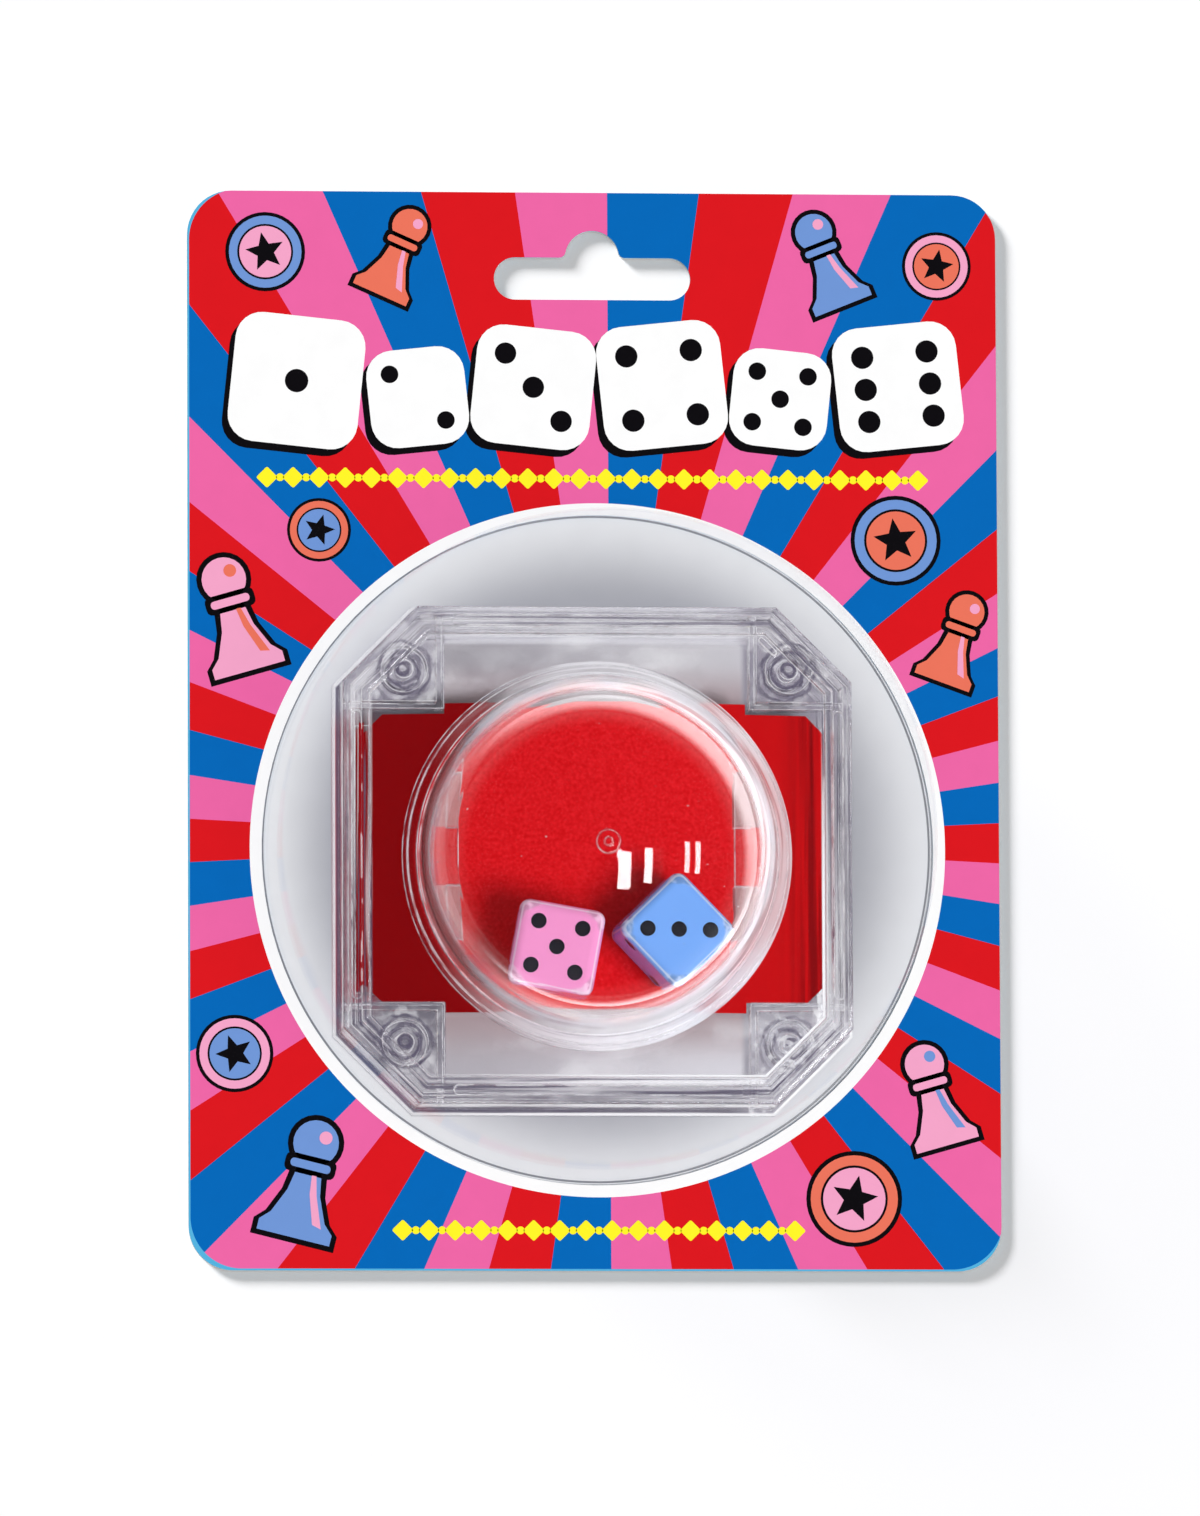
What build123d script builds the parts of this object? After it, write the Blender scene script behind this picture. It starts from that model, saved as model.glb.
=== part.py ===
from build123d import *
import math
import os

# Pop-up dice game held on a hanging card by a clear blister.
#
# Frame: the pack lies on its back. X runs across the card, Y up the card to the hang slot, and Z
# comes out of the printed face. The origin is at the card's centre, on its back face.
# All sizes are in millimetres.

# ---- Leaf and its coloured cover sheet, bowed upwards along X ----
leaf_end_gap = 1.25
leaf_side_gap = 0.5
leaf_shoulder = 1.95
leaf_thickness = 0.4
leaf_bow = 4.5
leaf_end_corner = 4.0
sheet_thickness = 0.3
sheet_overhang = 0.4
layer_gap = 0.05

# ---- Dice ----
die_size = 16.0
die_edge_radius = 2.0
die_seat_gap = 0.1
dice_gap = 1.95
die_rim_gap = 1.63
dice_heading = 279.0
pink_turn = -10.4
blue_turn = 44.0
pip_radius = 1.45
pip_depth = 0.35
pip_pitch = 4.1
pip_paint_gap = 0.03

# ---- Dome ----
dome_radius = 33.3
dome_wall = 1.5
dome_cap_rise = 21.0
dome_bend_radius = 14.0
dome_headroom = 13.1
dome_flange_width = 3.2
dome_flange_thickness = 1.5
dome_flange_lift = 1.1
dome_running_gap = 0.5
dome_stop_gap = 0.1
foot_inner_x = 25.6
foot_length = 3.0
foot_width = 10.5
foot_spacing = 21.5
foot_seat_gap = 0.1
gate_pad_radius = 2.2
gate_pad_height = 0.15
gate_nub_radius = 0.8
gate_nub_height = 0.45

# ---- Case: clear tray below, clear cover above ----
tray_floor = 1.5
tray_wall = 1.2
tray_wall_height = 4.0
tray_wall_gap = 0.15
ledge_height = 3.0
ledge_depth = 3.5
ledge_end_gap = 2.0
case_corner = 14.7
tray_lip = 1.1
cover_wall = 1.5
rim_width = 5.1
rim_depth = 1.5
rim_groove_length = 54.0
rim_groove_width = 1.8
rim_groove_depth = 0.8
side_margin = 6.0
end_margin = 4.95
plate_thickness = 1.5
collar_width = 1.8
collar_height = 1.4
corner_box = 13.8
corner_rib = 1.2
rib_drop_gap = 0.6
post_inset = 6.5
post_shoulder_radius = 3.2
post_pin_radius = 1.7
post_tube_radius = 4.3
post_fit_gap = 0.08
corner_mark_length = 4.3
corner_mark_width = 1.0
corner_mark_height = 0.5
corner_mark_shift_x = -4.0
corner_mark_shift_y = 4.35
cover_edge_radius = 0.6

# ---- Blister ----
blister_sheet = 0.3
blister_play = 1.0
blister_headroom = 0.6
blister_draft = 3.0
blister_shoulder = 15.0
blister_flange_width = 7.0
blister_slot_gap = 0.05
window_gap = 0.3
window_x = 0.66
popper_shift_x = -1.1
popper_shift_y = -2.4

# ---- Card: two boards with the blister's flange between them ----
back_board = 0.5
front_board = 0.7
card_side = 13.1
card_header = 61.0
card_footer = 16.0
card_corner_radius = 8.3
slot_length = 37.0
slot_width = 8.0
slot_from_top = 16.3
slot_hump_radius = 5.1
slot_hump_blend = 1.2

# ---- Plan sizes, from the dome outwards ----
flange_radius = dome_radius + dome_flange_width
recess_length = 2 * (flange_radius + side_margin)
recess_width = 2 * (flange_radius + end_margin)
frame_width = tray_lip + rim_width
case_length = recess_length + 2 * frame_width
case_width = recess_width + 2 * frame_width
case_outline = (case_length, case_width, case_corner)
tray_inset = tray_lip + cover_wall + tray_wall_gap
leaf_half = case_length / 2 - tray_inset - tray_wall - leaf_end_gap
case_reach = math.hypot(case_length / 2, case_width / 2 - case_corner)
rib_x = recess_length / 2 - corner_box
rib_y = recess_width / 2 - corner_box
post_x = recess_length / 2 - post_inset
post_y = recess_width / 2 - post_inset
popper_shift = math.hypot(popper_shift_x, popper_shift_y)
blister_radius = case_reach + popper_shift + blister_play + blister_sheet
window_radius = blister_radius + window_gap
blister_flange_radius = window_radius + blister_flange_width

card_width = 2 * (window_radius + card_side)
card_height = card_header + 2 * window_radius + card_footer
window_y = card_footer + window_radius - card_height / 2
popper_x = window_x + popper_shift_x
popper_y = window_y + popper_shift_y
slot_y = card_height / 2 - slot_from_top

# ---- Heights, from the card's back face up ----
seat = back_board
tray_top = seat + tray_floor
ledge_top = tray_top + ledge_height
leaf_low = ledge_top + layer_gap
leaf_radius = (leaf_half**2 + leaf_bow**2) / (2 * leaf_bow)
bow_centre_z = leaf_low + leaf_bow - leaf_radius
leaf_top_radius = leaf_radius + leaf_thickness
sheet_low_radius = leaf_top_radius + layer_gap
sheet_top_radius = sheet_low_radius + sheet_thickness
sheet_crest = bow_centre_z + sheet_top_radius
flange_low = sheet_crest + dome_flange_lift
flange_high = flange_low + dome_flange_thickness
plate_low = flange_high + dome_stop_gap
plate_top = plate_low + plate_thickness
rim_top = plate_top + rim_depth
dice_top = sheet_crest + die_seat_gap + die_size
dome_apex = dice_top + dome_headroom + dome_wall
dome_shoulder = dome_apex - dome_cap_rise
nub_top = dome_apex + gate_nub_height
blister_top = nub_top + blister_headroom + blister_sheet


def window_plane(z):
    """Horizontal plane at height z, centred on the round window."""
    return Plane((window_x, window_y, z))


def popper_plane(z):
    """Horizontal plane at height z, centred on the popper."""
    return Plane((popper_x, popper_y, z))


def popper_section():
    """Upright plane through the popper's centre: sketch x is along X and sketch y is height."""
    return Plane(origin=(popper_x, popper_y, 0), x_dir=(1, 0, 0), z_dir=(0, -1, 0))


def inset(outline, gap):
    """The same octagon moved inwards by gap on all eight sides."""
    length, width, corner = outline
    return length - 2 * gap, width - 2 * gap, corner - gap * (2 - math.sqrt(2))


def octagon(outline, mode=Mode.ADD):
    """Rectangle with its four corners cut off, added to the sketch that is open."""
    length, width, corner = outline
    x, y = length / 2, width / 2
    quarter = [(x, y - corner), (x - corner, y)]
    points = quarter + [(-px, py) for px, py in reversed(quarter)]
    points += [(-px, -py) for px, py in points]
    Polygon(*points, align=None, mode=mode)


def hang_slot():
    """Long slot with a round hump in the middle of its upper side."""
    hump_y = slot_y + slot_width / 2
    with BuildSketch(mode=Mode.PRIVATE) as slot:
        with Locations((0, slot_y)):
            SlotOverall(slot_length, slot_width)
        with Locations((0, hump_y)):
            Circle(slot_hump_radius)
        fillet(slot.vertices().sort_by_distance((0, hump_y))[:2], slot_hump_blend)
    return slot.sketch


def card_outline():
    """Rounded card with its hang slot, added to the sketch that is open."""
    RectangleRounded(card_width, card_height, card_corner_radius)
    add(hang_slot(), mode=Mode.SUBTRACT)


def finish(part, name):
    """Labels a finished piece and writes its STEP file."""
    part.label = name
    export_step(part, f"parts/{name}.step")


os.makedirs("parts", exist_ok=True)

# ---- Card ----
with BuildPart() as back_card:
    with BuildSketch(Plane.XY):
        card_outline()
    extrude(amount=back_board)
finish(back_card.part, "back_card")

with BuildPart() as front_card:
    with BuildSketch(Plane.XY.offset(seat)):
        card_outline()
    extrude(amount=front_board)
    # Round window that the bubble stands through.
    with BuildSketch(window_plane(seat)):
        Circle(window_radius)
    extrude(amount=front_board, mode=Mode.SUBTRACT)
    # Pocket in the back of the board for the blister's flange.
    with BuildSketch(window_plane(seat)):
        Circle(blister_flange_radius + blister_slot_gap)
    extrude(amount=blister_sheet + blister_slot_gap, mode=Mode.SUBTRACT)
finish(front_card.part, "front_card")

# ---- Blister: thin bubble with a flat flange ----
with BuildPart() as blister:
    with BuildSketch(window_plane(seat)):
        Circle(blister_radius)
    extrude(amount=blister_top - seat, taper=blister_draft)
    fillet(blister.edges().group_by(Axis.Z)[-1], blister_shoulder)
    offset(amount=-blister_sheet, openings=blister.faces().sort_by(Axis.Z)[0])
    with BuildSketch(window_plane(seat)):
        Circle(blister_flange_radius)
        Circle(blister_radius - blister_sheet, mode=Mode.SUBTRACT)
    extrude(amount=blister_sheet)
finish(blister.part, "blister")

# ---- Base tray: floor, low wall, two ledges for the leaf's ends, and four posts ----
tray_wall_outline = inset(case_outline, tray_inset)
tray_inner_outline = inset(tray_wall_outline, tray_wall)
ledge_span = leaf_end_gap + ledge_depth
ledge_width = 2 * (rib_y - leaf_side_gap - ledge_end_gap)

with BuildPart() as base_tray:
    with BuildSketch(popper_plane(seat)):
        octagon(case_outline)
    extrude(amount=tray_floor)
    with BuildSketch(popper_plane(tray_top)):
        octagon(tray_wall_outline)
        octagon(tray_inner_outline, mode=Mode.SUBTRACT)
    extrude(amount=tray_wall_height)
    ledge_centre = tray_inner_outline[0] / 2 - ledge_span / 2
    with BuildSketch(popper_plane(tray_top)):
        with Locations((-ledge_centre, 0), (ledge_centre, 0)):
            Rectangle(ledge_span, ledge_width)
    extrude(amount=ledge_height)
    with BuildSketch(popper_plane(tray_top)):
        with GridLocations(2 * post_x, 2 * post_y, 2, 2):
            Circle(post_shoulder_radius)
    extrude(amount=tray_wall_height)
    with BuildSketch(popper_plane(tray_top)):
        with GridLocations(2 * post_x, 2 * post_y, 2, 2):
            Circle(post_pin_radius)
    extrude(amount=plate_low - tray_top - post_fit_gap)
finish(base_tray.part, "base_tray")

# ---- Cover: octagonal wall, flat rim, sunk top plate with the dome's hole ----
cover_outline = inset(case_outline, tray_lip)
cavity_outline = inset(cover_outline, cover_wall)
recess_outline = inset(cover_outline, rim_width)
step_outline = inset(cover_outline, rim_width - cover_wall)
hole_radius = dome_radius + dome_running_gap
tube_low = tray_top + tray_wall_height + rib_drop_gap
rim_middle = rim_width / 2 + tray_lip

with BuildPart() as cover:
    with BuildSketch(popper_plane(tray_top)):
        octagon(cover_outline)
    extrude(amount=rim_top - tray_top)
    with BuildSketch(popper_plane(tray_top)):
        octagon(cavity_outline)
    extrude(amount=plate_low - tray_top, mode=Mode.SUBTRACT)
    # Hollow under the rim, outside the step that drops to the plate.
    with BuildSketch(popper_plane(plate_low)):
        octagon(cavity_outline)
        octagon(step_outline, mode=Mode.SUBTRACT)
    extrude(amount=plate_thickness, mode=Mode.SUBTRACT)
    with BuildSketch(popper_plane(plate_top)):
        octagon(recess_outline)
    extrude(amount=rim_depth, mode=Mode.SUBTRACT)
    fillet(cover.edges().group_by(Axis.Z)[-1], cover_edge_radius)
    # Long groove in the middle of each side of the rim.
    with BuildSketch(popper_plane(rim_top)):
        with Locations((0, case_width / 2 - rim_middle), (0, rim_middle - case_width / 2)):
            SlotOverall(rim_groove_length, rim_groove_width)
        with Locations((case_length / 2 - rim_middle, 0), (rim_middle - case_length / 2, 0)):
            SlotOverall(rim_groove_length, rim_groove_width, rotation=90)
    extrude(amount=-rim_groove_depth, mode=Mode.SUBTRACT)
    # Raised collar round the hole.
    with BuildSketch(popper_plane(plate_low)):
        Circle(hole_radius + collar_width)
    extrude(amount=plate_thickness + collar_height)
    # Square of ribs round each corner post, and the tube that grips the post's pin.
    with BuildSketch(popper_plane(tube_low)):
        for side_x in (-1, 1):
            for side_y in (-1, 1):
                arm_x = cavity_outline[0] / 2 - rib_x
                arm_y = cavity_outline[1] / 2 - rib_y
                with Locations((side_x * (rib_x + arm_x / 2), side_y * (rib_y + corner_rib / 2))):
                    Rectangle(arm_x, corner_rib)
                with Locations((side_x * (rib_x + corner_rib / 2), side_y * (rib_y + arm_y / 2))):
                    Rectangle(corner_rib, arm_y)
        with GridLocations(2 * post_x, 2 * post_y, 2, 2):
            Circle(post_tube_radius)
    extrude(amount=plate_low - tube_low)
    with BuildSketch(popper_plane(tube_low)):
        with GridLocations(2 * post_x, 2 * post_y, 2, 2):
            Circle(post_pin_radius + post_fit_gap)
    extrude(amount=plate_low - tube_low, mode=Mode.SUBTRACT)
    with BuildSketch(popper_plane(plate_low)):
        Circle(hole_radius)
    extrude(amount=plate_thickness + collar_height, mode=Mode.SUBTRACT)
    # Small raised mark beside one corner.
    with BuildSketch(popper_plane(plate_top)):
        with Locations((post_x + corner_mark_shift_x, post_y + corner_mark_shift_y)):
            SlotOverall(corner_mark_length, corner_mark_width, rotation=-45)
    extrude(amount=corner_mark_height)
finish(cover.part, "cover")

# ---- Dome: clear cap with a flange under the plate, and four feet that press on the leaf ----
foot_outer_x = foot_inner_x + foot_length
sheet_top_at_foot = bow_centre_z + math.sqrt(sheet_top_radius**2 - foot_inner_x**2)
foot_low = sheet_top_at_foot + foot_seat_gap
inner_radius = dome_radius - dome_wall
# The cap is a tight bend above the upright wall, then a crown that is tangent to it.
bend_centre_x = dome_radius - dome_bend_radius
crown_radius = (bend_centre_x**2 + dome_cap_rise**2 - dome_bend_radius**2) / (
    2 * (dome_cap_rise - dome_bend_radius)
)
bend_centre = (bend_centre_x, dome_shoulder)
crown_centre = (0, dome_apex - crown_radius)
bend_angle = math.degrees(math.acos(bend_centre_x / (crown_radius - dome_bend_radius)))

with BuildPart() as dome:
    with BuildSketch(popper_section()):
        with BuildLine():
            for depth in (0, dome_wall):
                CenterArc(bend_centre, dome_bend_radius - depth, 0, bend_angle)
                CenterArc(crown_centre, crown_radius - depth, bend_angle, 90 - bend_angle)
            Line((0, dome_apex), (0, dome_apex - dome_wall))
            Polyline(
                (dome_radius, dome_shoulder),
                (dome_radius, flange_high),
                (flange_radius, flange_high),
                (flange_radius, flange_low),
                (inner_radius, flange_low),
                (inner_radius, dome_shoulder),
            )
        make_face()
    revolve(axis=Axis((popper_x, popper_y, 0), (0, 0, 1)))
    # Lips across the left and right of the bore, with two feet below each.
    with BuildSketch(popper_plane(flange_low)):
        Circle(inner_radius + dome_wall / 2)
        Rectangle(2 * foot_inner_x, 2 * dome_radius, mode=Mode.SUBTRACT)
    extrude(amount=dome_flange_thickness)
    with BuildSketch(popper_plane(foot_low)):
        with GridLocations(foot_inner_x + foot_outer_x, foot_spacing, 2, 2):
            Rectangle(foot_length, foot_width)
    extrude(amount=flange_low - foot_low)
    # Moulding gate at the crown.
    with BuildSketch(popper_plane(dome_apex - dome_wall / 2)):
        Circle(gate_pad_radius)
    extrude(amount=dome_wall / 2 + gate_pad_height)
    with BuildSketch(popper_plane(dome_apex)):
        Circle(gate_nub_radius)
    extrude(amount=gate_nub_height)
finish(dome.part, "dome")


# ---- Spring leaf and cover sheet ----
def bowed_strip(low_radius, high_radius, overhang):
    """Strip bowed along X between two radii, narrowed at its ends to pass between the corner ribs."""
    end_x = leaf_half + overhang / 2
    wide_x = rib_x - leaf_side_gap
    end_y = rib_y - 2 * leaf_side_gap + overhang
    wide_y = end_y + leaf_shoulder
    low_end = bow_centre_z + math.sqrt(low_radius**2 - end_x**2)
    high_end = bow_centre_z + math.sqrt(high_radius**2 - end_x**2)
    low_crest = bow_centre_z + low_radius
    high_crest = bow_centre_z + high_radius
    with BuildPart() as strip:
        with BuildSketch(popper_section()):
            with BuildLine():
                ThreePointArc((-end_x, low_end), (0, low_crest), (end_x, low_end))
                ThreePointArc((-end_x, high_end), (0, high_crest), (end_x, high_end))
                Line((-end_x, low_end), (-end_x, high_end))
                Line((end_x, low_end), (end_x, high_end))
            make_face()
        extrude(amount=wide_y, both=True)
        with BuildSketch(popper_plane(tray_top)):
            octagon((2 * end_x, 2 * end_y, leaf_end_corner))
            Rectangle(2 * wide_x, 2 * wide_y)
        extrude(amount=high_crest - tray_top + leaf_bow, mode=Mode.INTERSECT)
    return strip


spring_leaf = bowed_strip(leaf_radius, leaf_top_radius, 0)
finish(spring_leaf.part, "spring_leaf")

cover_sheet = bowed_strip(sheet_low_radius, sheet_top_radius, sheet_overhang)
finish(cover_sheet.part, "cover_sheet")

# ---- Dice ----
die_reach = die_size / 2 * math.sqrt(2) - die_edge_radius * (math.sqrt(2) - 1)
die_distance = inner_radius - die_reach - die_rim_gap
dice_spacing = die_size / 2 * (1 + math.sqrt(2)) + dice_gap
dice_half_angle = math.degrees(math.asin(dice_spacing / 2 / die_distance))

# Pip places on one face, in pitches from its centre.
pip_patterns = {
    1: [(0, 0)],
    2: [(-1, 1), (1, -1)],
    3: [(-1, 1), (0, 0), (1, -1)],
    4: [(-1, -1), (-1, 1), (1, -1), (1, 1)],
    5: [(-1, -1), (-1, 1), (0, 0), (1, -1), (1, 1)],
    6: [(-1, -1), (-1, 0), (-1, 1), (1, -1), (1, 0), (1, 1)],
}


def die_frame(heading, turn):
    """Plane at a die's middle, standing square on the bowed sheet in the given direction."""
    x = die_distance * math.cos(math.radians(heading))
    y = die_distance * math.sin(math.radians(heading))
    lean = x / sheet_top_radius
    upright = math.sqrt(1 - lean**2)
    lift = sheet_top_radius + die_seat_gap + die_size / 2
    centre = (popper_x + lift * lean, popper_y + y, bow_centre_z + lift * upright)
    cosine, sine = math.cos(math.radians(turn)), math.sin(math.radians(turn))
    across = (cosine * upright, sine, -cosine * lean)
    return Plane(origin=centre, x_dir=across, z_dir=(lean, 0, upright))


def face_planes(frame, values):
    """The six outward face planes of a die, from its values on top, at the side and behind.

    Opposite faces add to seven.
    """
    top, side, back = values
    pairs = (
        (top, frame.z_dir, frame.x_dir),
        (side, frame.x_dir, frame.y_dir),
        (back, frame.y_dir, frame.z_dir),
    )
    for value, outward, across in pairs:
        for face_value, normal in ((value, outward), (7 - value, outward * -1)):
            centre = frame.origin + normal * (die_size / 2)
            yield face_value, Plane(origin=centre, x_dir=across, z_dir=normal)


def build_die(frame, values):
    """Cube with rounded edges and a flat-bottomed pit for each pip."""
    with BuildPart(frame) as die:
        Box(die_size, die_size, die_size)
        fillet(die.edges(), die_edge_radius)
        for value, plane in face_planes(frame, values):
            with BuildSketch(plane):
                with Locations(*[(x * pip_pitch, y * pip_pitch) for x, y in pip_patterns[value]]):
                    Circle(pip_radius)
            extrude(amount=-pip_depth, mode=Mode.SUBTRACT)
    return die


def build_pips(frame, values):
    """The paint that fills a die's pits, one disc for each pip."""
    with BuildPart() as pips:
        for value, plane in face_planes(frame, values):
            with BuildSketch(plane.offset(-pip_depth)):
                with Locations(*[(x * pip_pitch, y * pip_pitch) for x, y in pip_patterns[value]]):
                    Circle(pip_radius - pip_paint_gap)
            extrude(amount=pip_depth - pip_paint_gap)
    return pips


dice = {
    "pink": (die_frame(dice_heading - dice_half_angle, pink_turn), (5, 4, 6)),
    "blue": (die_frame(dice_heading + dice_half_angle, blue_turn), (3, 5, 1)),
}
for colour, (frame, values) in dice.items():
    finish(build_die(frame, values).part, f"die_{colour}")
    finish(build_pips(frame, values).part, f"die_{colour}_pips")

print(f"card {card_width:.2f} x {card_height:.2f}, thickness {seat + front_board:.2f}, top {blister_top:.2f}")
print(f"case {case_length:.2f} x {case_width:.2f}, window radius {window_radius:.2f}")
print(f"popper centre {popper_x:.3f}, {popper_y:.3f}; window centre {window_x:.3f}, {window_y:.3f}")
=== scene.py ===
import math

import bmesh
import bpy
import numpy as np
from mathutils import Matrix, Vector


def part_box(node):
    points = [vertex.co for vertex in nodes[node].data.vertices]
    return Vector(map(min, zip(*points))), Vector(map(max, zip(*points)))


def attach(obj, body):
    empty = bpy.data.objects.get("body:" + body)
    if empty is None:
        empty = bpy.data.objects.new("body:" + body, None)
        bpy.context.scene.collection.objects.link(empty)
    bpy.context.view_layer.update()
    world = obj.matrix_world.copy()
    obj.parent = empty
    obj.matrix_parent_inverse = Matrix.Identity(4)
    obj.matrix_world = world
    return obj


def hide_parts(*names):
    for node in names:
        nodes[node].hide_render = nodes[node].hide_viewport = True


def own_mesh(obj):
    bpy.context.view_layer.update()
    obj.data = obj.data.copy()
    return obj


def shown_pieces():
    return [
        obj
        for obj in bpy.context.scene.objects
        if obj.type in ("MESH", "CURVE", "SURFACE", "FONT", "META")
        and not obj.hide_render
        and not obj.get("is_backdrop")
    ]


# Pop-up dice game on a blister card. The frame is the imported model's: metres, X right and Y up on
# the card, Z out of its printed face. Lengths below are in millimetres, and MM turns them into
# metres. A look is often placed by (name, start, full) entries: it fades in from start to full of
# the named offset, which may fall or rise on the way.

MM = 0.001

# ---- Camera: it stands before the card, LEAN_X degrees to its left and LEAN_Y below ----
LENS = 400.0
FRAME_HEIGHT = 284.0
FRAME_CENTRE = (1.13, -5.26)
LEAN_X = 4.5
LEAN_Y = 6.0
CLIP_END = 100.0

# ---- Light; distances and heights in metres ----
AMBIENT = 0.36
CEILING = 0.015
SKY_HEIGHTS = (0.1, 0.4)
FLOOR_SIZE = 8.0
FLOOR_DROP = 0.0002
FLOOR_GLOW = 0.16
STUDIO_DISTANCE = 0.8
HORIZON_LOW = 0.03
HORIZON_HIGH = 0.24
HORIZON_SIDES = 96
HORIZON_LEVEL = 6.0
HORIZON_RIGHT = 4.0
HORIZON_FRONT = 8.0
HORIZON_BACK = 3.0
HORIZON_TILT = 0.35
HORIZON_TOP = 0.5
HORIZON_LEFT_FADE = (-0.95, -0.35)
# Name, direction, width and height in radians, and strength of the strips that the dome mirrors.
STRIPS = (
    ("strip_near", (0.216, -0.150, 0.963), 0.11, 0.32, 26),
    ("strip_middle", (0.417, -0.100, 0.903), 0.07, 0.30, 26),
    ("strip_far_left", (0.707, -0.009, 0.708), 0.045, 0.25, 22),
    ("strip_far_right", (0.775, -0.009, 0.634), 0.045, 0.25, 22),
)
KEY_WAY = (-1, 0.9, 0.5)
FILL_WAY = (0.40, -0.28, 0.87)
KEY_POWER, KEY_ANGLE = 4.9, 15
FILL_POWER, DICE_POWER, FILL_ANGLE = 2.4, 0.4, 24

# ---- Front of the card ----
BURST_RAYS = 54
BURST_CENTRE = (2.88, -21.05)
BURST_STRETCH = 1.168
BURST_WAVES = 4.0
BURST_SKEW = 0.009
RING_WIDTH = 2.26
PRINT_SHIFT = (0.33, 0.33)
PRINT_CORNER = 9.6
FACE_DEPTH = 0.02

# ---- Printed pieces; a pawn's, a counter's and a pip's numbers are shares of its size ----
INK = 0.03
TITLE_BASE = 53.4
TITLE_LEFT = -68.5
TITLE_SIZES = (24.5, 18.5, 22.5, 23.5, 18.5, 23.5)
TITLE_GAP = 1.25
TITLE_SHIFT = 0.6
TITLE_TILT = 6.0
TITLE_SHADOW = (-1.1, -1.3)
TITLE_CORNER = 5.0
PIP_STEP = 0.26
PIP_RADIUS = 0.09
PIPS = {
    1: [(0, 0)],
    2: [(-1, 1), (1, -1)],
    3: [(-1, 1), (0, 0), (1, -1)],
    4: [(-1, -1), (-1, 1), (1, -1), (1, 1)],
    5: [(-1, -1), (-1, 1), (0, 0), (1, -1), (1, 1)],
    6: [(-1, -1), (-1, 0), (-1, 1), (1, -1), (1, 0), (1, 1)],
}
ROW_PITCH = 4.9
ROW_DIAMOND = 2.9
ROW_CORNER = 0.35
ROW_DOT = 0.75
PAWN_LINE = 0.045
PAWN_SOLE = -0.45
PAWN_SIDE = [(0.31, -0.50), (0.31, -0.41), (0.23, -0.33), (0.14, -0.12), (0.10, 0.10)]
PAWN_STRIPE = [
    (0.21, -0.38),
    (0.13, -0.36),
    (0.05, -0.12),
    (0.03, 0.04),
    (0.07, 0.04),
    (0.11, -0.12),
]
PAWN_COLLAR = (0.17, 0.08, 0.15)
PAWN_COLLAR_CORNER = 0.03
PAWN_LINE_CORNER = 0.05
PAWN_HEAD = ((0, 0.31), 0.19)
PAWN_GLINT = ((0.07, 0.37), 0.055)
COUNTER_RADII = (0.50, 0.455, 0.35, 0.325)
STAR_RADII = (0.25, 0.11)
DOT_STEPS = 16
COUNTER_STEPS = 40

# ---- Clear plastic ----
# The painted highlight on each edge's crest and the painted shade on its shoulder are placed by
# the cosine between the rounded normal and the flat one, and the glint, which makes a crest's
# painted highlight bright, by noise.
EDGE_ROUND = 0.55
EDGE_LEAST = 0.2
EDGE_BRIGHT = 0.9
EDGE_DARK = 0.6
CREST = (0.90, 0.82)
SHOULDER_START = (0.995, 0.96)
SHOULDER_END = (0.86, 0.92)
GLINT = (0.36, 0.58)
CLEAR_IOR = 1.5
CLEAR_ROUGHNESS = 0.02
SOFT_ROUGHNESS = 0.4
BLISTER_ROUGHNESS = 0.04
BLISTER_GLOSS = 0.12
BLISTER_LEAST = 0.001

# ---- Case: its octagon, and where the painted light and shade of its rim and its corner boxes are ----
CASE_HALF = (48.7, 47.65)
CASE_CHAMFER = 81.6
CORNER_FROM = (28.7, 27.65)
POST_PLACE = (36.0, 34.95)
FLAT = ("flat", 0.3, 0.6)
# The painted edge highlight is no fainter than OUTLINE_LEAST along the outline, CASE_LEAST
# elsewhere.
OUTLINE = ("depth", -1.6, -0.9)
OUTLINE_LEAST = 0.85
CASE_LEAST = 0.25
IN_RIM = (FLAT, ("depth", -6.9, -6.3))
IN_CORNER = (
    ("x", CORNER_FROM[0], CORNER_FROM[0] + 1),
    ("y", CORNER_FROM[1], CORNER_FROM[1] + 1),
)
LOWER_RIGHT = ("diagonal", 10.0, 60.0)
FAR_LOWER_RIGHT = ("diagonal", 30.0, 66.0)
RIM_TOP = ("across", 20.0, 36.0)
# Streaks of painted highlight and painted shade along the case's rim, the shade weaker at the top.
STREAK_DENSITY = (1.5, 0.02, 0.02)
HIGHLIGHT_STREAK = (0.50, 0.62)
SHADE_STREAK = (0.46, 0.36)
RIM_HIGHLIGHT = 0.22
RIM_SHADE = 0.52
RIM_SHADE_TOP = 0.36
LINE_BLUR = 0.1
# The red line is a painted reflection of the sheet's edge in the rim's wall.
RED_LINE = (-4.55, 0.42, 0.08)  # Depth, half width and blur
RED_LINE_ENDS = (FLAT, ("side", -38.0, -40.0), ("y", 24.9, 24.4))
RED_LINE_SHARE = 0.8
# Rings of painted shade round the corner posts, weaker at the lower right.
RING_WOBBLE = 9.0
RING_WAVES = 3.2
RING_CREST = (0.1, 0.9)
RING_REACH = (6.6, 3.8)
RING_SHARE = 0.48
RING_SHARE_LIT = 0.33
# Blotches of painted highlight in the corner boxes, stronger at the lower right.
CORNER_HIGHLIGHT = (0.50, 0.70)
CORNER_HIGHLIGHT_SHARE = 0.24
CORNER_HIGHLIGHT_SHARE_LIT = 0.39
SCUFF_FROM = ("y", 29.0, 33.0)
SCUFF = (0.50, 0.72)
SCUFF_SHARE = 0.22
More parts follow.
